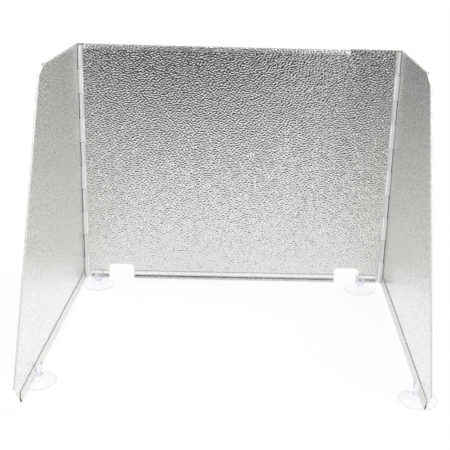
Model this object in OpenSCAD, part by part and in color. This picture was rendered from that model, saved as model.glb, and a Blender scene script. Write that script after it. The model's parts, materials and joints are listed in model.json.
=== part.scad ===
// Folding three-panel stove windscreen of thin sheet on four suction cups.
// Millimetres, +Z up. The origin is midway between the two hinge axes, on the surface the cups stand on.
// The centre panel stands at the back, and the side panels run forward along -Y.

/* [Panels] */
// Distance between the two hinge axes
panel_w = 350; // [250:1:500]
// Height of the sheets, from the bottom fold to the top fold
panel_h = 277; // [200:1:360]
// Thickness of the sheet
sheet = 0.7; // [0.5:0.05:0.9]
// Length of a side panel's bottom edge, from the hinge axis to the front corner cut
side_bottom = 264; // [180:1:300]
// Length of a side panel's top edge, from the hinge axis to the top corner cut
side_top = 135; // [90:1:160]
// Angle by which the left panel stands open past square
left_open = 2.5; // [-5:0.5:10]
// Angle by which the right panel stands open past square
right_open = -2; // [-5:0.5:10]

/* [Corner cuts] */
// Forward run of the cut at a side panel's bottom front corner
bottom_cut_run = 13; // [4:0.5:25]
// Rise of the cut at a side panel's bottom front corner
bottom_cut_rise = 20; // [8:0.5:40]
// Forward run of the cut at a side panel's top front corner
top_cut_run = 19; // [6:0.5:30]
// Drop of the cut at a side panel's top front corner
top_cut_drop = 8; // [4:0.5:30]

/* [Hems] */
// Clear gap inside the flat hems at the top and front edges
hem_gap = 0.5; // [0.4:0.05:1]
// Inner diameter of the round bead along the bottom fold
bead_bore = 1.4; // [1.2:0.05:1.6]
// Angle at which a bottom hem's strip leans from the bead to the sheet
bead_lean = 15; // [14:0.5:18]
// Gap between the sheet and the straight end of a bottom hem
bead_gap = 0.3; // [0.2:0.05:0.4]
// Height of the bottom hem, which the cups grip
bottom_hem = 10; // [8:0.5:14]
// Height of the side panels' top hem
top_hem = 8; // [5:0.5:14]
// Height of the band that leans back along the centre panel's top, with its hem behind it
top_band = 5.4; // [4:0.2:8]
// Angle by which that band leans back
top_lean = 16; // [5:1:25]
// Length without that band beside the right hinge axis
top_plain = 55; // [10:1:100]
// Width of the relief slit at each end of that band
top_slit = 0.6; // [0.3:0.1:1]
// Width of the hem along a side panel's front edge
front_hem = 6; // [4:0.5:10]
// Distance from a hinge axis to the nearest end of a hem
hem_start = 6; // [4:0.5:9]

/* [Notches] */
// Distance from a hinge axis to the near edge of its notch
notch_start = 27; // [20:0.5:40]
// Width of a notch in the centre panel's bottom edge
notch_w = 29.5; // [16:0.5:45]
// Height of a notch
notch_h = 18; // [13:0.5:30]
// Radius of a notch's upper corners
notch_r = 5; // [1:0.5:7]

/* [Hinges] */
// Number of knuckles along each hinge, shared in turn by the two panels
knuckles = 10; // [4:2:16]
// Diameter of the hinge pin
pin_d = 3.5; // [2.8:0.1:4]
// Radial clearance of the pin in the knuckles
pin_fit = 0.05; // [0.02:0.01:0.1]
// Gap below each knuckle of a side panel
knuckle_gap = 0.9; // [0.4:0.1:1.2]
// Gap above each knuckle of a side panel
knuckle_slip = 0.2; // [0.1:0.05:0.4]
// Gap between a sheet's cut-back edge and the other panel's knuckle
cut_gap = 0.5; // [0.3:0.1:1]
// Depth of the pin's ends inside the last knuckles
pin_recess = 0.4; // [0.2:0.1:1]

/* [Suction cups] */
// Diameter of a cup's rim
cup_d = 36; // [30:1:42]
// Height of the bell above the surface
bell_h = 5.4; // [4.6:0.1:5.6]
// Thickness of the bell's lip at the rim
lip = 0.6; // [0.4:0.1:1]
// Width of the flat land that seals on the surface
land = 1; // [0.6:0.1:2]
// Depth of the hollow under the bell
hollow_h = 3.2; // [2:0.1:3.6]
// Diameter of the neck between bell and head
neck_d = 7.4; // [5:0.1:8]
// Diameter of the head
head_d = 10.4; // [9.5:0.1:12]
// Radius of the head's top and bottom edges
head_r = 0.8; // [0.4:0.1:1]
// Height of the bottom fold above the surface
foot_gap = 8.4; // [8.2:0.1:12]
// Thickness of the head below the fold
head_floor = 1.9; // [1.4:0.1:2.2]
// Clearance between the hem and the slot of a head, on each side
slot_fit = 0.1; // [0.05:0.01:0.2]
// Distance of the rear left cup from the left hinge axis
rear_left_at = 14.8; // [13:0.1:22]
// Distance of the rear right cup from the right hinge axis
rear_right_at = 24.5; // [13:0.1:25]
// Distance of the front left cup from its hem's front end
front_left_from_end = 50; // [14:1:150]
// Distance of the front right cup from its hem's front end
front_right_from_end = 29; // [14:1:150]

/* [Hidden] */

$fn = 64;
sheet_colour = [0.78, 0.78, 0.76];
pin_colour = [0.6, 0.6, 0.6];
cup_colour = [0.86, 0.87, 0.93, 0.5];

// Overlap that joins the pieces of one sheet
lap = 1;
// Overrun of cuts past the faces that they open
over = 1;
// Depth at which a bottom hem's strip starts inside the bead's faces, so that it crosses them
tuck = 0.03;

bore_d = pin_d + 2 * pin_fit;
knuckle_d = bore_d + 2 * sheet;
knuckle_pitch = panel_h / knuckles;
cut_back = knuckle_d / 2 + cut_gap;
// Outer face of a panel, outward from the plane through its hinge axis
sheet_face = knuckle_d / 2;
// Narrow seam of a rolled knuckle beside its sheet, as angles about the axis
seam_top = asin(1 - sheet / sheet_face);
seam = [seam_top - 9, seam_top];

fold_r = sheet + hem_gap / 2;
bead_r = sheet + bead_bore / 2;
// Middle of a bottom bead, outward from the plane through the hinge axis
hem_middle = sheet_face - bead_r;
crease = panel_h - top_band;
// Line about which the top band leans, just inside the upright sheet's top edge
bend = [0, sheet_face - sheet + 0.1, crease - 0.3];

head_bottom = foot_gap - head_floor;
head_top = foot_gap + bottom_hem;

// Cross-section of a flat hem: the sheet's leg, the fold at the bottom and the strip beside it.
// The sheet's far face lies on the Y axis, and the strip stands to the right of the leg.
module flat_section(rise) {
    translate([fold_r, fold_r])
        intersection() {
            difference() {
                circle(r = fold_r);
                circle(r = hem_gap / 2);
            }
            translate([-fold_r, -fold_r])
                square([2 * fold_r, fold_r]);
        }
    translate([0, fold_r])
        square([sheet, lap]);
    translate([sheet + hem_gap, fold_r])
        square([sheet, rise - fold_r]);
}

// Cross-section of a bottom hem, placed like a flat one: the fold is a round bead, and the strip leans from
// it towards the sheet and then stands straight beside it
module bead_section(rise) {
    away = [cos(bead_lean), sin(bead_lean)];
    up = [-sin(bead_lean), cos(bead_lean)];
    middle = [bead_r, bead_r];
    outer = middle + (bead_r - tuck) * away;
    inner = middle + (bead_bore / 2 - tuck) * away;
    near = sheet + bead_gap;
    far = near + sheet;
    difference() {
        union() {
            translate(middle)
                circle(r = bead_r);
            polygon([
                middle, outer, outer + (outer.x - far) / sin(bead_lean) * up, [far, rise], [0, rise], [0, bead_r]
            ]);
        }
        translate(middle)
            circle(d = bead_bore);
        polygon([
            middle, inner, inner + (inner.x - near) / sin(bead_lean) * up,
            [near, rise + over], [sheet, rise + over], [sheet, bead_r]
        ]);
    }
}

// Hem with a given section along the edge between two points of a panel's outline, with the panel on the
// left of that way. It folds to the inner face, where the hinge axis is, or else to the outer face.
module edge_hem(from, to, inward) {
    run = to - from;
    translate([from.x, 0, from.y])
        rotate([0, -atan2(run.y, run.x), 0])
            rotate([90, 0, 90])
                linear_extrude(norm(run))
                    translate([inward ? sheet_face : sheet_face - sheet, 0])
                        mirror([inward ? 1 : 0, 0])
                            children();
}

// Flat sheet with the given outline, standing in its place off the hinge axis
module sheet_plate(outline) {
    translate([0, sheet_face, 0])
        rotate([90, 0, 0])
            linear_extrude(sheet)
                polygon(outline);
}

// Plan of a knuckle: the sheet's edge rolled round the pin, with a narrow seam beside the sheet
module knuckle_plan() {
    difference() {
        circle(d = knuckle_d);
        circle(d = bore_d);
        polygon([[0, 0], for (a = seam) knuckle_d * [cos(a), sin(a)]]);
    }
    translate([0, sheet_face - sheet])
        square([cut_back + lap, sheet]);
}

// Every second knuckle of a hinge on the Z axis, counted from the top: the centre panel's from the first on,
// or a side panel's from the second on, with the wider gap below them
module knuckle_row(first) {
    above = knuckle_slip / 2;
    below = first == 0 ? above : knuckle_gap - above;
    for (i = [first : 2 : knuckles - 1])
        translate([0, 0, panel_h - (i + 1) * knuckle_pitch + below])
            linear_extrude(knuckle_pitch - above - below)
                knuckle_plan();
}

// Notch with round upper corners, cut through the sheet
module notch() {
    translate([notch_start, sheet_face + over, -over])
        rotate([90, 0, 0])
            linear_extrude(sheet + 2 * over) {
                square([notch_w, notch_h + over - notch_r]);
                translate([notch_r, 0])
                    square([notch_w - 2 * notch_r, notch_h + over]);
                for (x = [notch_r, notch_w - notch_r])
                    translate([x, notch_h + over - notch_r])
                        circle(r = notch_r);
            }
}

// Half of the centre panel's upright sheet, from the left hinge axis at the origin to the middle
module centre_half() {
    middle = panel_w / 2;
    difference() {
        sheet_plate([[cut_back, bead_r], [middle, bead_r], [middle, crease], [cut_back, crease]]);
        notch();
    }
    knuckle_row(0);
}

// Bottom hems of the centre panel, from the left hinge axis at the origin, beside and between the notches
module centre_hems() {
    notch_end = notch_start + notch_w;
    for (run = [
        [hem_start, notch_start], [notch_end, panel_w - notch_end], [panel_w - notch_start, panel_w - hem_start]
    ])
        edge_hem([run[0], 0], [run[1], 0], true)
            bead_section(bottom_hem);
}

// Top of the centre panel, from the left hinge axis at the origin: the band that leans back about the crease
// with its hem behind it, and the plain upright ends beyond the relief slits
module centre_top() {
    band = [hem_start, panel_w - top_plain];
    translate(bend)
        rotate([-top_lean, 0, 0])
            translate(-bend) {
                sheet_plate([
                    [band[0], bend.z], [band[1], bend.z],
                    [band[1], panel_h - fold_r], [band[0], panel_h - fold_r]
                ]);
                edge_hem([band[1], panel_h], [band[0], panel_h], false)
                    flat_section(top_band);
            }
    for (end = [[cut_back, band[0] - top_slit], [band[1] + top_slit, panel_w - cut_back]])
        sheet_plate([
            [end[0], crease - lap], [end[1], crease - lap], [end[1], panel_h], [end[0], panel_h]
        ]);
}

module centre_panel() {
    color(sheet_colour) {
        for (side = [0, 1])
            mirror([side, 0, 0])
                translate([-panel_w / 2, 0, foot_gap])
                    centre_half();
        translate([-panel_w / 2, 0, foot_gap]) {
            centre_hems();
            centre_top();
        }
    }
}

// Side panel with its hinge axis at the origin, running along +X with its outer face towards +Y
module side_sheet() {
    front_low = [side_bottom + bottom_cut_run, bottom_cut_rise];
    front_high = [side_top + top_cut_run, panel_h - top_cut_drop];
    front = front_high - front_low;
    inset = fold_r * [-front.y, front.x] / norm(front);
    sheet_plate([
        [cut_back, bead_r], [side_bottom, bead_r],
        front_low + inset, front_high + inset,
        [side_top, panel_h - fold_r], [cut_back, panel_h - fold_r]
    ]);
    edge_hem([hem_start, 0], [side_bottom, 0], true)
        bead_section(bottom_hem);
    edge_hem(front_low, front_high, false)
        flat_section(front_hem);
    edge_hem([side_top, panel_h], [hem_start, panel_h], false)
        flat_section(top_hem);
    knuckle_row(1);
}

// Puts what stands on the right panel's hinge axis in its place, or its mirror image on the left one's
module on_side(side) {
    mirror([side == "left" ? 1 : 0, 0, 0])
        translate([panel_w / 2, 0, 0])
            rotate([0, 0, (side == "left" ? left_open : right_open) - 90])
                children();
}

module side_panel(side) {
    color(sheet_colour)
        on_side(side)
            translate([0, 0, foot_gap])
                side_sheet();
}

module hinge_pin(side) {
    color(pin_colour)
        translate([side * panel_w / 2, 0, foot_gap + pin_recess])
            cylinder(d = pin_d, h = panel_h - 2 * pin_recess);
}

// Half section of the bell: a lens-shaped cap, hollow below, with a flat sealing land at the rim
module bell_section() {
    rim_r = cup_d / 2;
    crown = bell_h - lip;
    crown_r = (pow(rim_r, 2) + pow(crown, 2)) / (2 * crown);
    hollow_rim = rim_r - land;
    hollow_r = (pow(hollow_rim, 2) + pow(hollow_h, 2)) / (2 * hollow_h);
    difference() {
        union() {
            square([rim_r, lip]);
            intersection() {
                translate([0, bell_h - crown_r])
                    circle(r = crown_r);
                translate([0, lip])
                    square([rim_r, crown]);
            }
        }
        translate([0, hollow_h - hollow_r])
            circle(r = hollow_r);
    }
}

// Half section of the head: a short drum with round edges
module head_section() {
    rise = head_top - head_bottom;
    translate([0, head_bottom]) {
        square([head_d / 2 - head_r, rise]);
        translate([0, head_r])
            square([head_d / 2, rise - 2 * head_r]);
        for (z = [head_r, rise - head_r])
            translate([head_d / 2 - head_r, z])
                circle(r = head_r);
    }
}

// Suction cup on the Z axis, with the slot of its head along X
module suction_cup() {
    color(cup_colour)
        difference() {
            rotate_extrude() {
                bell_section();
                translate([0, (bell_h + hollow_h) / 2])
                    square([neck_d / 2, head_bottom + head_r - (bell_h + hollow_h) / 2]);
                head_section();
            }
            translate([-head_d, 0, foot_gap + bead_r])
                rotate([0, 90, 0])
                    cylinder(r = bead_r + slot_fit, h = 2 * head_d);
            translate([-head_d, -bead_r - slot_fit, foot_gap + bead_r])
                cube([2 * head_d, 2 * (bead_r + slot_fit), bottom_hem + over]);
        }
}

// Cup on the centre panel's hem, at a distance from the hinge axis on that side
module rear_cup(side, distance) {
    translate([side * (panel_w / 2 - distance), hem_middle, 0])
        suction_cup();
}

// Cup on a side panel's hem, at a distance from the hem's front end
module front_cup(side, distance) {
    on_side(side)
        translate([side_bottom - distance, hem_middle, 0])
            suction_cup();
}

centre_panel();
side_panel("left");  // left_panel
side_panel("right");  // right_panel
hinge_pin(-1);  // left_hinge_pin
hinge_pin(1);  // right_hinge_pin
rear_cup(-1, rear_left_at);  // rear_left_cup
rear_cup(1, rear_right_at);  // rear_right_cup
front_cup("left", front_left_from_end);  // front_left_cup
front_cup("right", front_right_from_end);  // front_right_cup
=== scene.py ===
"""Looks of the folding stove windscreen: embossed sheets, wire hinge pins and clear suction cups."""
import json
import math
from typing import Callable, NamedTuple

import bmesh
import bpy
import numpy as np
from mathutils import Matrix, Vector


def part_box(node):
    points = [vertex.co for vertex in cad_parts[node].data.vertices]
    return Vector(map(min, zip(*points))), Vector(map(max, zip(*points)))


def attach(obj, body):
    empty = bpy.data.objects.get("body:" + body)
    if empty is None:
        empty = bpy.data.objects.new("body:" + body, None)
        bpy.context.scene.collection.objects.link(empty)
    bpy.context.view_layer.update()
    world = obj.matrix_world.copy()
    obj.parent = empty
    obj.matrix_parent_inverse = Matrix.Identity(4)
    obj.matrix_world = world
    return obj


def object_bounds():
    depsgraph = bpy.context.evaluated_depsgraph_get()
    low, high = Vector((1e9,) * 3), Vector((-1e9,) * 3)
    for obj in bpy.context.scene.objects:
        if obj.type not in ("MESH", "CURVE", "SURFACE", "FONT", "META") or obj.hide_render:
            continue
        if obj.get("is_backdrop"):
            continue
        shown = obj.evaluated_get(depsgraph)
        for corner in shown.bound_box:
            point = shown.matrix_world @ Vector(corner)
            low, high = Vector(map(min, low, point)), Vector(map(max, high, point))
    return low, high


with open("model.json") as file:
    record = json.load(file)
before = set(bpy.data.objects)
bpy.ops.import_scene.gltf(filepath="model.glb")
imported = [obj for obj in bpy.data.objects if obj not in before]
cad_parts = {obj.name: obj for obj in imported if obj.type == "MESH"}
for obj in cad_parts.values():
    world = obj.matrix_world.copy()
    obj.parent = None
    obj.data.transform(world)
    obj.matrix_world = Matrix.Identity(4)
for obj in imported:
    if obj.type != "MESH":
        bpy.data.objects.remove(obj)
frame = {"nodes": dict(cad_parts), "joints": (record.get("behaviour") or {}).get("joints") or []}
cad_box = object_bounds()
joints = {joint["name"]: joint for joint in frame["joints"]}

SIDE_PANELS = ("left_panel", "right_panel")
PINS = ("left_hinge_pin", "right_hinge_pin")
CUPS = ("rear_left_cup", "rear_right_cup", "front_left_cup", "front_right_cup")


def new_object(name, data):
    made = bpy.data.objects.new(name, data)
    bpy.context.scene.collection.objects.link(made)
    return made


# Camera, at the photograph's viewing angle

IMAGE_SIZE = 450
FOCAL_PIXELS = 806.4
OPTICAL_CENTRE = (234.2, 186.7)
CAMERA_AT = Vector((-0.0140, -0.8787, 0.4099))
CAMERA_AIM = Vector((-0.0025, 0.0, 0.1260))
CAMERA_ROLL = -0.0252
SENSOR = 36.0


def make_camera():
    data = bpy.data.cameras.new("camera")
    data.sensor_width = SENSOR
    data.lens = SENSOR * FOCAL_PIXELS / IMAGE_SIZE
    data.shift_x = (IMAGE_SIZE / 2 - OPTICAL_CENTRE[0]) / IMAGE_SIZE
    data.shift_y = (OPTICAL_CENTRE[1] - IMAGE_SIZE / 2) / IMAGE_SIZE
    camera = new_object("camera", data)
    turn = (CAMERA_AIM - CAMERA_AT).to_track_quat("-Z", "Y").to_matrix()
    turn = turn @ Matrix.Rotation(-CAMERA_ROLL, 3, "Z")
    camera.matrix_world = Matrix.Translation(CAMERA_AT) @ turn.to_4x4()
    bpy.context.scene.camera = camera


# Sizes of the panels, in metres, as the solids have them. Each panel has a frame of its own: u along the
# sheet, from the hinge axis on a side panel and from the middle on the centre panel, z up from the bottom
# fold, and v outward from the plane through the hinge axis

FOOT_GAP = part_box("centre_panel")[0].z
PANEL_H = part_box("centre_panel")[1].z - FOOT_GAP
LEFT_HINGE = Vector(joints["left_hinge"]["pos_m"])
RIGHT_HINGE = Vector(joints["right_hinge"]["pos_m"])
PANEL_W = RIGHT_HINGE.x - LEFT_HINGE.x
SIDE_BOTTOM = 0.264
SIDE_TOP = 0.135
BOTTOM_CUT = Vector((0.013, 0.020))
TOP_CUT = Vector((0.019, 0.008))
SHEET = 0.0007
OUTER_FACE = 0.0025
INNER_FACE = OUTER_FACE - SHEET
HEM_GAP = 0.0005
FOLD = SHEET + HEM_GAP / 2
BOTTOM_HEM = 0.010
TOP_HEM = 0.008
FRONT_HEM = 0.006
HEM_START = 0.006
CENTRE_EDGE = 0.0030
SIDE_EDGE = 0.0060

# Bottom hem: a strip that leans from a round bead to a knee and then stands straight beside the sheet

BEAD_R = 0.0014
BEAD_TUCK = 0.00003
BEAD_LEAN = math.radians(15)
BEAD_GAP = 0.0003
HEM_FACE = OUTER_FACE - 2 * SHEET - BEAD_GAP
BEAD_REACH = BEAD_R - BEAD_TUCK
BEAD_FOOT = (
    OUTER_FACE - BEAD_R - BEAD_REACH * math.cos(BEAD_LEAN), BEAD_R + BEAD_REACH * math.sin(BEAD_LEAN))
LEAN_LENGTH = (HEM_FACE - BEAD_FOOT[0]) / math.sin(BEAD_LEAN)
BEAD_KNEE = BEAD_FOOT[1] + LEAN_LENGTH * math.cos(BEAD_LEAN)

# Leaning band along the centre panel's top, which turns about a line just inside the sheet

TOP_BAND = 0.0054
TOP_LEAN = math.radians(16)
TOP_PLAIN = 0.055
BAND_OVER = 0.0010
CREASE = PANEL_H - TOP_BAND
BEND_INSIDE = 0.0001
BEND_BELOW = 0.0003

# Notches in the centre panel's bottom edge

NOTCH_START = 0.027
NOTCH_W = 0.0295
NOTCH_H = 0.018
NOTCH_R = 0.005


# Outlines of the faces, as distances inside them

NO_INSETS = (0, 0, 0, 0)


def edge_distance(u, z, outline, insets):
    """How far points lie inside a convex anticlockwise outline, with each edge drawn in by its inset."""
    nearest = np.full(u.shape, np.inf)
    for start, end, inset in zip(outline, outline[1:] + outline[:1], insets):
        run = np.subtract(end, start)
        run = run / np.linalg.norm(run)
        away = run[0] * (z - start[1]) - run[1] * (u - start[0]) - inset
        nearest = np.minimum(nearest, away)
    return nearest


def notch_distance(u, z):
    """How far points lie outside the two notches, which open at the bottom."""
    nearest = np.full(u.shape, np.inf)
    for side in (-1, 1):
        middle = side * (PANEL_W / 2 - NOTCH_START - NOTCH_W / 2)
        across = np.abs(u - middle) - NOTCH_W / 2 + NOTCH_R
        up = z - NOTCH_H + NOTCH_R
        outside = np.hypot(np.maximum(across, 0), np.maximum(up, 0)) + np.minimum(np.maximum(across, up), 0)
        nearest = np.minimum(nearest, outside - NOTCH_R)
    return nearest


def box_distance(low, high, insets):
    """Distance inside an upright rectangle, with insets of its bottom, right, top and left edges."""
    outline = [low, (high[0], low[1]), high, (low[0], high[1])]

    def distance(u, z):
        return edge_distance(u, z, outline, insets)
    return distance


def centre_distance():
    """Distance inside the centre panel's upright sheet, which is higher beside its right hinge."""
    half = PANEL_W / 2
    low = box_distance((-half, 0), (half, CREASE), (BOTTOM_HEM, CENTRE_EDGE, 0, CENTRE_EDGE))
    end = box_distance((half - TOP_PLAIN, 0), (half, PANEL_H), (BOTTOM_HEM, CENTRE_EDGE, 0, 0))

    def distance(u, z):
        return np.minimum(np.maximum(low(u, z), end(u, z)), notch_distance(u, z))
    return distance


def side_distance(front, top):
    """Distance inside a side panel above its bottom hem, with insets of its front and top edges."""
    outline = [
        (0, 0), (SIDE_BOTTOM, 0), (SIDE_BOTTOM + BOTTOM_CUT.x, BOTTOM_CUT.y),
        (SIDE_TOP + TOP_CUT.x, PANEL_H - TOP_CUT.y), (SIDE_TOP, PANEL_H), (0, PANEL_H)]

    def distance(u, z):
        return edge_distance(u, z, outline, (BOTTOM_HEM, 0, front, 0, top, SIDE_EDGE))
    return distance


def strip_distance(low, high, notched):
    """Distance inside a strip along a bottom hem, which the centre panel's notches interrupt."""
    inside = box_distance(low, high, NO_INSETS)

    def distance(u, z):
        return np.minimum(inside(u, z), notch_distance(u, z)) if notched else inside(u, z)
    return distance


# Embossed faces: closed thin plates, half sunk in the sheets, that carry the raised grain. A plate is a grid
# of points with its border below the sheet's face, finer on the faces that the camera sees

CENTRE_STEP = 0.00062
SIDE_STEP = 0.00070
PLAIN_STEP = 0.00096
STRIP_STEP = 0.00048
CENTRE_PARTS = 3
SIDE_PARTS = 2
CENTRE_SEED = 0
LEFT_SEED = 10
RIGHT_SEED = 20
GRAIN_WAVE = 0.0024
GRAIN_STRETCH = 1.4
GRAIN_SPREAD = 0.42
GRAIN_EDGE = 1.5
GRAIN_NARROW = 0.3
CENTRE_GRAIN = 0.00032
SIDE_GRAIN = 0.00024
BAND_GRAIN = 0.00022
HEM_GRAIN = 0.00008
GRAIN_FLOOR = 0.00002
GRAIN_MARGIN = 0.0002
GRAIN_FADE = 0.0008
PLATE_SUNK = 0.00015
PLATE_BACK = 0.00035


class Face(NamedTuple):
    """A flat face: its frame's place, the rectangle round it, its outline, its v and which way it looks."""
    place: Matrix
    low: tuple
    high: tuple
    distance: Callable
    at: float
    outward: bool


class Grain(NamedTuple):
    """The grain on a face: its height, the points' spacing, its seed and how many plates share the face."""
    relief: float
    step: float
    seed: int
    parts: int = 1


def worm_grain(rows, columns, step, seed):
    """Field from 0 to 1 of winding ridges, a band of even noise pressed towards two levels."""
    noise = np.random.default_rng(seed).standard_normal((rows, columns))
    across = np.fft.fftfreq(columns, step)
    up = np.fft.fftfreq(rows, step)
    waves = np.hypot(across[None, :] * GRAIN_STRETCH, up[:, None]) * GRAIN_WAVE
    band = np.exp(-((waves - 1) / GRAIN_SPREAD) ** 2)
    field = np.fft.ifft2(np.fft.fft2(noise) * band).real
    return 0.5 + 0.5 * np.tanh(GRAIN_EDGE * (field / field.std() - GRAIN_NARROW))


def smooth(x):
    x = np.clip(x, 0, 1)
    return x * x * (3 - 2 * x)


def close_plate(mesh, back):
    """Gives a one-sided grid walls and a flat back, at the given v."""
    work = bmesh.new()
    work.from_mesh(mesh)
    front_rim = [edge for edge in work.edges if edge.is_boundary]
    walls = bmesh.ops.extrude_edge_only(work, edges=front_rim)["geom"]
    for vertex in (item for item in walls if isinstance(item, bmesh.types.BMVert)):
        vertex.co.y = back
    back_rim = [edge for edge in work.edges if edge.is_boundary]
    for edge in front_rim + back_rim:
        edge.smooth = False
    bmesh.ops.edgeloop_fill(work, edges=back_rim)
    bmesh.ops.recalc_face_normals(work, faces=work.faces)
    work.to_mesh(mesh)
    work.free()


def plate_object(name, place, points, tone, cells, back):
    """Closed plate over some cells of a grid of points, put in its place, with the grain's tone at each."""
    used, corners = np.unique(cells, return_inverse=True)
    mesh = bpy.data.meshes.new(name)
    mesh.from_pydata(points[used].tolist(), [], corners.reshape(-1, 4).tolist())
    mesh.attributes.new("grain", "FLOAT", "POINT").data.foreach_set("value", tone[used])
    mesh.polygons.foreach_set("use_smooth", [True] * len(mesh.polygons))
    close_plate(mesh, back)
    mesh.transform(place)
    if place.determinant() < 0:
        mesh.flip_normals()
    return new_object(name, mesh)


def face_grid(face, step):
    """Values of u and z at points over the rectangle round a face."""
    columns = int((face.high[0] - face.low[0]) / step) + 1
    rows = int((face.high[1] - face.low[1]) / step) + 1
    return np.meshgrid(face.low[0] + step * np.arange(columns), face.low[1] + step * np.arange(rows))


def grid_cells(rows, columns):
    """Numbers of the four corner points of each cell of a grid."""
    index = np.arange(rows * columns).reshape(rows, columns)
    return np.stack([index[:-1, :-1], index[:-1, 1:], index[1:, 1:], index[1:, :-1]], axis=-1)


def embossed_plates(name, face, grain):
    """Plates side by side over the points inside a face's outline, raised the way the face looks."""
    u, z = face_grid(face, grain.step)
    inside = face.distance(u, z) - GRAIN_MARGIN
    share = smooth(inside / GRAIN_FADE)
    ridges = worm_grain(*u.shape, grain.step, grain.seed)
    height = share * (GRAIN_FLOOR + grain.relief * ridges) - (1 - share) * PLATE_SUNK
    sign = 1 if face.outward else -1
    points = np.stack([u, face.at + sign * height, z], axis=-1).reshape(-1, 3)
    # Tone of the grain, darker in its valleys: partly duller metal, partly painted shade
    tone = (share * (1 - (1 - ridges) * grain.relief / CENTRE_GRAIN)).reshape(-1)
    for number, block in enumerate(np.array_split(grid_cells(*u.shape), grain.parts, axis=1), 1):
        block = block.reshape(-1, 4)
        kept = block[(inside.reshape(-1)[block] > 0).all(axis=1)]
        part_name = f"{name}_{number}" if grain.parts > 1 else name
        yield plate_object(part_name, face.place, points, tone, kept, face.at - sign * PLATE_BACK)


def emboss(material, body, name, face, grain):
    for plate in embossed_plates(name, face, grain):
        plate.data.materials.append(material)
        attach(plate, body)


def strip_face(place, ends, heights, at, notched):
    """Inner face of a bottom hem between two ends and two heights."""
    low, high = zip(ends, heights)
    return Face(place, low, high, strip_distance(low, high, notched), at, False)


def emboss_hem(material, body, name, place, ends, seed):
    """Grain on a bottom hem's two visible faces: the one that leans from the bead, and the straight one."""
    notched = body == "centre"
    leaning = place @ Matrix.Translation((0, *BEAD_FOOT)) @ Matrix.Rotation(-BEAD_LEAN, 4, "X")
    bead = strip_face(leaning, ends, (0, LEAN_LENGTH), 0, notched)
    hem = strip_face(place, ends, (BEAD_KNEE, BOTTOM_HEM), HEM_FACE, notched)
    emboss(material, body, name + "_bead_grain", bead, Grain(HEM_GRAIN, STRIP_STEP, seed))
    emboss(material, body, name + "_hem_grain", hem, Grain(HEM_GRAIN, STRIP_STEP, seed + 1))


def band_face(place):
    """Front of the leaning band, from a little below the crease, so that its grain covers the crease."""
    half = PANEL_W / 2
    low, high = (HEM_START - half, CREASE - BAND_OVER), (half - TOP_PLAIN, PANEL_H - FOLD)
    bend = Matrix.Translation((0, INNER_FACE + BEND_INSIDE, CREASE - BEND_BELOW))
    leaning = place @ bend @ Matrix.Rotation(-TOP_LEAN, 4, "X") @ bend.inverted()
    return Face(leaning, low, high, box_distance(low, high, NO_INSETS), INNER_FACE, False)


def emboss_centre(material, hem_material, seed):
    place = Matrix.Translation((0, 0, FOOT_GAP))
    half = PANEL_W / 2
    sheet = (place, (-half, 0), (half, PANEL_H), centre_distance())
    inner = Face(*sheet, INNER_FACE, False)
    outer = Face(*sheet, OUTER_FACE, True)
    fine = Grain(CENTRE_GRAIN, CENTRE_STEP, seed, CENTRE_PARTS)
    emboss(material, "centre", "centre_inner_grain", inner, fine)
    emboss(material, "centre", "centre_outer_grain", outer, Grain(CENTRE_GRAIN, PLAIN_STEP, seed + 1))
    emboss(material, "centre", "centre_band_grain", band_face(place), Grain(BAND_GRAIN, STRIP_STEP, seed + 2))
    emboss_hem(hem_material, "centre", "centre", place, (HEM_START - half, half - HEM_START), seed + 3)


def side_place(hinge, along, side):
    """Matrix from a side panel's own frame, with the panel running along a direction from its hinge."""
    u = Vector(along)
    z = Vector((0, 0, 1))
    v = side * u.cross(z)
    turn = Matrix((u, v, z)).transposed().to_4x4()
    return Matrix.Translation((hinge.x, hinge.y, FOOT_GAP)) @ turn


def emboss_side(materials, name, place, seed):
    """Grain on a side panel, with the materials of its inner face, its outer face and its bottom hem."""
    inner_material, outer_material, hem_material = materials
    body = name + "_side"
    low, high = (0, 0), (SIDE_BOTTOM + BOTTOM_CUT.x, PANEL_H)
    inner = Face(place, low, high, side_distance(FOLD, FOLD), INNER_FACE, False)
    outer = Face(place, low, high, side_distance(FRONT_HEM, TOP_HEM), OUTER_FACE, True)
    fine = Grain(SIDE_GRAIN, SIDE_STEP, seed, SIDE_PARTS)
    emboss(inner_material, body, name + "_inner_grain", inner, fine)
    emboss(outer_material, body, name + "_outer_grain", outer, Grain(SIDE_GRAIN, PLAIN_STEP, seed + 1))
    emboss_hem(hem_material, body, name, place, (HEM_START, SIDE_BOTTOM), seed + 2)


def emboss_panels(centre, side, hem):
    """Plates in three finishes: centre and outer faces, inner side faces and centre hem, and side hems."""
    left_place = side_place(LEFT_HINGE, joints["front_left_slide"]["axis"], 1)
    right_place = side_place(RIGHT_HINGE, joints["front_right_slide"]["axis"], -1)
    emboss_centre(centre, side, CENTRE_SEED)
    emboss_side((side, centre, hem), "left", left_place, LEFT_SEED)
    emboss_side((side, centre, hem), "right", right_place, RIGHT_SEED)


# Node trees of materials and of the world

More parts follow.
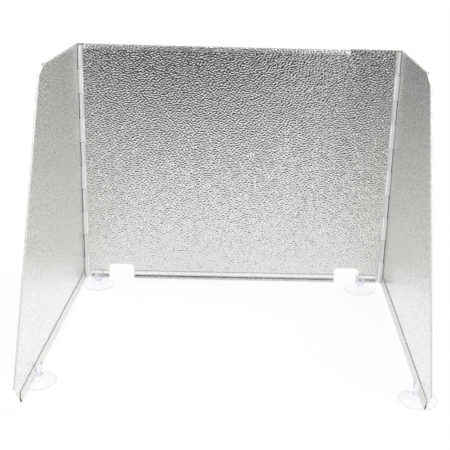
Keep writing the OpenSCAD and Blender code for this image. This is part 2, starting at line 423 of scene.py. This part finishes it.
class Nodes:
    """Short way to build a node tree."""

    def __init__(self, owner):
        owner.use_nodes = True
        self.owner = owner
        self.tree = owner.node_tree
        self.tree.nodes.clear()

    def add(self, kind, inputs=None, **settings):
        """New node, with a link or a constant for each input that is named or numbered."""
        node = self.tree.nodes.new(kind)
        for key, value in settings.items():
            setattr(node, key, value)
        for socket, value in (inputs or {}).items():
            if isinstance(value, bpy.types.NodeSocket):
                self.tree.links.new(value, node.inputs[socket])
            else:
                node.inputs[socket].default_value = value
        return node

    def place(self):
        """Place on a piece at rest, in the part's frame."""
        return self.add("ShaderNodeTexCoord").outputs["Object"]

    def axes(self, vector):
        return self.add("ShaderNodeSeparateXYZ", {0: vector}).outputs

    def math(self, operation, *values, **settings):
        return self.add("ShaderNodeMath", dict(enumerate(values)), operation=operation, **settings).outputs[0]

    def vector(self, operation, *values):
        return self.add("ShaderNodeVectorMath", dict(enumerate(values)), operation=operation).outputs

    def ramp(self, value, between=(0.0, 1.0), results=(0.0, 1.0), **settings):
        """Output that goes from one result to the other while a value goes between two others."""
        limits = {"From Min": between[0], "From Max": between[1], "To Min": results[0], "To Max": results[1]}
        return self.add("ShaderNodeMapRange", {"Value": value, **limits}, **settings).outputs["Result"]

    def noise(self, place, scale, detail=2.0, roughness=0.5, distortion=0.0):
        node = self.add("ShaderNodeTexNoise", {
            "Vector": place, "Scale": scale, "Detail": detail,
            "Roughness": roughness, "Distortion": distortion})
        return node.outputs["Fac"]

    def mix(self, share, first, second):
        """Colour between two colours."""
        return self.add("ShaderNodeMix", {"Factor": share, 6: first, 7: second}, data_type="RGBA").outputs[2]

    def finish(self, shader, volume=None):
        """The material itself, with its surface and perhaps what fills it."""
        output = self.add("ShaderNodeOutputMaterial", {"Surface": shader})
        if volume:
            self.tree.links.new(volume, output.inputs["Volume"])
        return self.owner


def new_material(name):
    return Nodes(bpy.data.materials.new(name))


def dress(names, material):
    for name in names:
        mesh = frame["nodes"][name].data
        mesh.materials.clear()
        mesh.materials.append(material)


# Embossed metal

class Finish(NamedTuple):
    """Colours and roughness of the grain's valleys and ridges, the mottling's strength, the tone between the
    colours where contrast is low, and the heights, as shares of the sheet's, between which contrast rises:
    painted light and shade, darker towards the top and evenly lighter below."""
    colours: tuple
    rough: tuple
    mottle: float
    middle: float
    rise: tuple


# Colours of the grain's valleys and ridges: the valleys' darkness is partly duller metal and partly painted
# shade
DULL_AND_SHADED_SHEET = (0.55, 0.55, 0.53, 1.0)
BRIGHT_SHEET = (0.99, 0.99, 0.97, 1.0)
SPOTTED_SHEET = (0.65, 0.65, 0.63, 1.0)
PALE_SHEET = (1.0, 1.0, 0.98, 1.0)
FOLD_SHEET = (0.82, 0.82, 0.80, 1.0)
# Near-black colour of the painted shade in the hinge crevices and on the top fold
PAINTED_SHADE = (0.02, 0.02, 0.02, 1.0)
CENTRE_FINISH = Finish(
    (DULL_AND_SHADED_SHEET, BRIGHT_SHEET), rough=(0.26, 0.12), mottle=0.3, middle=0.56, rise=(0, 0.62))
# The inner side faces' strong mottling is partly the sheet's uneven tone and partly painted reflection of
# what the grain's slopes see at a grazing view
SIDE_FINISH = Finish(
    (SPOTTED_SHEET, PALE_SHEET), rough=(0.37, 0.24), mottle=2.2, middle=0.8, rise=(0.2, 1))
EDGE_FINISH = Finish(
    (FOLD_SHEET, BRIGHT_SHEET), rough=(0.5, 0.36), mottle=0.3, middle=0.5, rise=(0, 1))
MOTTLE_SCALE = (310.0, 310.0, 640.0)
MOTTLE_LEVELS = (0.3, 0.7)
TONE_MIDDLE = 0.5
# Painted light and shade: the grain's contrast is this low near the sheet's bottom, an even lighter tone, and
# rises towards its darker top
LOW_CONTRAST = 0.12
ROLLED_SCALE = 900.0
ROLLED_DEPTH = 0.00005
WORM_SCALE = 420.0
WORM_LEVELS = (0.38, 0.62)
WORM_DEPTH = 0.00010
KNUCKLE_TONE = 0.9
KNUCKLE_REACH = (0.0042, 0.0032)
OUTER_SIDE = (-0.0004, 0.0004)
SATIN_ROUGH = 0.5
SATIN_METAL = 0.5
# Painted shade darkens the top fold over this span below the sheet's top
TOP_FOLD = (0.0028, 0.0014)
# Painted shade: ambient occlusion darkens the crevices outward of the hinge knuckles
CREVICE_REACH = 0.004
CREVICE_OPEN = (0.66, 0.76)
CREVICE_SAMPLES = 16


def sheet_colour(n, place, grain, finish):
    """Bright mottled metal, darker in the grain's valleys, partly duller metal and partly painted shade;
    painted light and shade by height make it darker towards the top and evenly lighter towards the bottom.
    """
    rolled = n.vector("MULTIPLY", place, MOTTLE_SCALE)["Vector"]
    mottle = n.noise(rolled, 1.0, roughness=0.6)
    level = n.ramp(mottle, MOTTLE_LEVELS, (-finish.mottle - TONE_MIDDLE, finish.mottle - TONE_MIDDLE))
    heights = [FOOT_GAP + PANEL_H * share for share in finish.rise]
    contrast = n.ramp(n.axes(place)["Z"], heights, (LOW_CONTRAST, 1.0))
    uneven = n.math("ADD", grain, level)
    shade = n.math("MULTIPLY_ADD", uneven, contrast, finish.middle, use_clamp=True)
    return n.mix(shade, *finish.colours)


def rolled_bump(n, place):
    """Normal with the fine unevenness that rolling leaves in the sheet."""
    fine = n.noise(place, ROLLED_SCALE, roughness=0.6)
    bump = n.add("ShaderNodeBump", {"Height": fine, "Strength": 1.0, "Distance": ROLLED_DEPTH})
    return bump.outputs["Normal"]


def embossed_faces(name, finish):
    """Finish of the plates, whose grain is in their shape."""
    n = new_material(name)
    place = n.place()
    grain = n.add("ShaderNodeAttribute", attribute_name="grain").outputs["Fac"]
    shader = n.add("ShaderNodeBsdfPrincipled", {
        "Base Color": sheet_colour(n, place, grain, finish), "Metallic": 1.0,
        "Roughness": n.ramp(grain, results=finish.rough), "Normal": rolled_bump(n, place)})
    return n.finish(shader.outputs["BSDF"])


def knuckle_shares(n, place):
    """Outputs that are 1 on the rolled knuckles, close to a hinge axis, and outward of the hinge axes."""
    axes = n.axes(place)
    beside = n.math("SUBTRACT", n.math("ABSOLUTE", axes["X"]), PANEL_W / 2)
    plan = n.add("ShaderNodeCombineXYZ", {"X": beside, "Y": axes["Y"]}).outputs[0]
    reach = n.vector("LENGTH", plan)["Value"]
    return n.ramp(reach, KNUCKLE_REACH), n.ramp(beside, OUTER_SIDE)


def fold_grain(n, place, knuckle):
    """Tone of the grain on the folds, which is even on the knuckles."""
    worms = n.noise(place, WORM_SCALE, detail=1.0, roughness=0.4, distortion=0.6)
    plateau = n.ramp(worms, WORM_LEVELS, interpolation_type="SMOOTHSTEP")
    return n.ramp(knuckle, results=(plateau, KNUCKLE_TONE))


def dark_share(n, place, outer, crevice_shade, fold_shade):
    """Share of painted shade: ambient occlusion in the crevices outward of the hinge axes, and a ramp along
    the top fold.
    """
    corner = n.add("ShaderNodeAmbientOcclusion", {"Distance": CREVICE_REACH}, samples=CREVICE_SAMPLES)
    crevice_dark = n.ramp(corner.outputs["AO"], CREVICE_OPEN, (crevice_shade, 0.0))
    heights = [FOOT_GAP + PANEL_H - below for below in TOP_FOLD]
    fold = n.ramp(n.axes(place)["Z"], heights, (0.0, fold_shade))
    return n.math("MAXIMUM", n.math("MULTIPLY", crevice_dark, outer), fold)


def embossed_edges(name, crevice_shade, fold_satin, fold_shade):
    """Finish of the bent sheets: scuffed folds and satin knuckles, with painted shade along the top fold and
    in the crevices beside the knuckles.
    """
    n = new_material(name)
    place = n.place()
    knuckle, outer = knuckle_shares(n, place)
    grain = fold_grain(n, place, knuckle)
    bump = n.add("ShaderNodeBump", {
        "Height": grain, "Strength": 1.0, "Distance": WORM_DEPTH, "Normal": rolled_bump(n, place)})
    satin = n.ramp(knuckle, results=(fold_satin, 1.0))
    grain_rough = n.ramp(grain, results=EDGE_FINISH.rough)
    dark = dark_share(n, place, outer, crevice_shade, fold_shade)
    shader = n.add("ShaderNodeBsdfPrincipled", {
        "Base Color": n.mix(dark, sheet_colour(n, place, grain, EDGE_FINISH), PAINTED_SHADE),
        "Metallic": n.ramp(satin, results=(1.0, SATIN_METAL)),
        "Roughness": n.ramp(satin, results=(grain_rough, SATIN_ROUGH)),
        "Normal": bump.outputs["Normal"]})
    return n.finish(shader.outputs["BSDF"])


# Pins and cups

WIRE = (0.56, 0.55, 0.54, 1.0)
WIRE_ROUGH = (0.2, 0.4)
WIRE_SCALE = 900.0
CLEAR_VINYL = (0.985, 0.985, 0.995, 1.0)
# Painted shade along the cups' rims
RIM_SHADE_VINYL = (0.8, 0.8, 0.83, 1.0)
RIM_REACH = (0.0166, 0.0176)
VINYL_SCALE = 300.0
VINYL_ROUGH = (0.02, 0.06)
VINYL_IOR = 1.14
VINYL_TINT = (0.55, 0.55, 0.82, 1.0)
VINYL_DENSITY = 20.0


def drawn_wire():
    n = new_material("drawn_wire")
    rough = n.ramp(n.noise(n.place(), WIRE_SCALE), results=WIRE_ROUGH)
    shader = n.add("ShaderNodeBsdfPrincipled", {"Base Color": WIRE, "Metallic": 1.0, "Roughness": rough})
    return n.finish(shader.outputs["BSDF"])


def clear_vinyl(cup):
    """Clear soft plastic of one cup, tinted by its thickness, with painted shade along the rim where its
    thick edge bends the light.
    """
    n = new_material("clear_vinyl_" + cup)
    place = n.place()
    low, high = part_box(cup)
    beside = n.vector("SUBTRACT", place, (low + high) / 2)["Vector"]
    flat = n.vector("MULTIPLY", beside, (1.0, 1.0, 0.0))["Vector"]
    rim = n.ramp(n.vector("LENGTH", flat)["Value"], RIM_REACH)
    shader = n.add("ShaderNodeBsdfPrincipled", {
        "Base Color": n.mix(rim, CLEAR_VINYL, RIM_SHADE_VINYL),
        "Roughness": n.ramp(n.noise(place, VINYL_SCALE), results=VINYL_ROUGH),
        "IOR": VINYL_IOR, "Transmission Weight": 1.0})
    tint = n.add("ShaderNodeVolumeAbsorption", {"Color": VINYL_TINT, "Density": VINYL_DENSITY})
    return n.finish(shader.outputs["BSDF"], tint.outputs["Volume"])


# Stage and light

WHITE = (1.0, 1.0, 1.0, 1.0)
WORLD_STRENGTH = (0.6, 1.0)
FLOOR_SIZE = (8, 8)
PALE_FLOOR = (0.93, 0.93, 0.93, 1.0)
FLOOR_FRONT = (-0.8, -0.25)
WEDGE_SLOPE = 0.6
WEDGE_EDGE = (0.22, 0.4)
FLOOR_NEAR = (0.22, 0.32)
NEAR_GLOW = (0.88, 1.0)
BLACK_CARD = (0.03, 0.03, 0.03, 1.0)
GREY_CARD = (0.30, 0.30, 0.30, 1.0)
CARDS = (
    ("front_card", (-0.165, -0.95, 0.275), (1.01, 0.55), BLACK_CARD),
    ("high_card", (-0.08, -0.95, 1.15), (0.5, 1.2), GREY_CARD),
)
LAMP_AT = Vector((0.3, -0.2, 1.6))
LAMP_AIM = Vector((0, -0.1, 0))
LAMP_SIZE = 1.2
LAMP_POWER = 17


def seen_directly(n):
    """Output that is 1 for rays from the camera and for those that mirrors and clear pieces pass on."""
    path = n.add("ShaderNodeLightPath").outputs
    seen = n.math("MAXIMUM", path["Is Camera Ray"], path["Is Glossy Ray"])
    return n.math("MAXIMUM", seen, path["Is Transmission Ray"])


def white_world():
    """White where it is seen, with less light on the part."""
    world = bpy.data.worlds.new("studio")
    bpy.context.scene.world = world
    n = Nodes(world)
    strength = n.ramp(seen_directly(n), results=WORLD_STRENGTH)
    background = n.add("ShaderNodeBackground", {"Color": WHITE, "Strength": strength})
    n.add("ShaderNodeOutputWorld", {"Surface": background.outputs[0]})


def plane(name, centre, size, facing, material):
    mesh = bpy.data.meshes.new(name)
    x, y = size[0] / 2, size[1] / 2
    mesh.from_pydata([(-x, -y, 0), (x, -y, 0), (x, y, 0), (-x, y, 0)], [], [(0, 1, 2, 3)])
    mesh.materials.append(material)
    made = new_object(name, mesh)
    turn = Vector(facing).to_track_quat("Z", "Y").to_matrix().to_4x4()
    made.matrix_world = Matrix.Translation(centre) @ turn
    made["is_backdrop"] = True
    return made


def floor_material():
    """Pale floor that glows white where it is seen, less close to the part and in a wedge in front of it."""
    n = new_material("pale_floor")
    place = n.add("ShaderNodeNewGeometry").outputs["Position"]
    axes = n.axes(place)
    wedge = n.math("MULTIPLY_ADD", axes["Y"], WEDGE_SLOPE, n.math("ABSOLUTE", axes["X"]))
    clear = n.math("MAXIMUM", n.ramp(axes["Y"], FLOOR_FRONT), n.ramp(wedge, WEDGE_EDGE))
    far = n.ramp(n.vector("LENGTH", place)["Value"], FLOOR_NEAR, NEAR_GLOW)
    share = n.math("MULTIPLY", seen_directly(n), n.math("MULTIPLY", clear, far))
    diffuse = n.add("ShaderNodeBsdfDiffuse", {"Color": PALE_FLOOR})
    glow = n.add("ShaderNodeEmission", {"Color": WHITE, "Strength": 1.0})
    mix = n.add("ShaderNodeMixShader", {0: share, 1: diffuse.outputs[0], 2: glow.outputs[0]})
    return n.finish(mix.outputs[0])


def dark_card(name, centre, size, colour):
    """Card that faces the part from the front and shows only in reflections."""
    n = new_material(name)
    diffuse = n.add("ShaderNodeBsdfDiffuse", {"Color": colour})
    card = plane(name, centre, size, (0, 1, 0), n.finish(diffuse.outputs[0]))
    card.visible_camera = False
    card.visible_diffuse = False
    card.visible_shadow = False
    card.visible_transmission = False


def top_light():
    data = bpy.data.lights.new("top_light", "AREA")
    data.shape = "SQUARE"
    data.size = LAMP_SIZE
    data.energy = LAMP_POWER
    made = new_object("top_light", data)
    made.location = LAMP_AT
    made.rotation_euler = (LAMP_AIM - LAMP_AT).to_track_quat("-Z", "Y").to_euler()


def make_studio():
    bpy.context.scene.view_settings.view_transform = "Standard"
    white_world()
    plane("floor", (0, 0, 0), FLOOR_SIZE, (0, 0, 1), floor_material())
    for card in CARDS:
        dark_card(*card)
    top_light()


make_camera()
# The bent sheets get painted shade in the hinge crevices and on the top fold, stronger on the centre panel
dress(["centre_panel"], embossed_edges("centre_edges", crevice_shade=1.0, fold_satin=0.35, fold_shade=0.45))
dress(SIDE_PANELS, embossed_edges("side_edges", crevice_shade=0.2, fold_satin=0.8, fold_shade=0.2))
emboss_panels(
    centre=embossed_faces("centre_faces", CENTRE_FINISH),
    side=embossed_faces("side_faces", SIDE_FINISH),
    hem=embossed_faces("hem_faces", EDGE_FINISH))
dress(PINS, drawn_wire())
for cup in CUPS:
    dress([cup], clear_vinyl(cup))
make_studio()

boxes = {"cad": cad_box, "visual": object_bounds()}
{name: [list(corner) for corner in box] for name, box in boxes.items()}
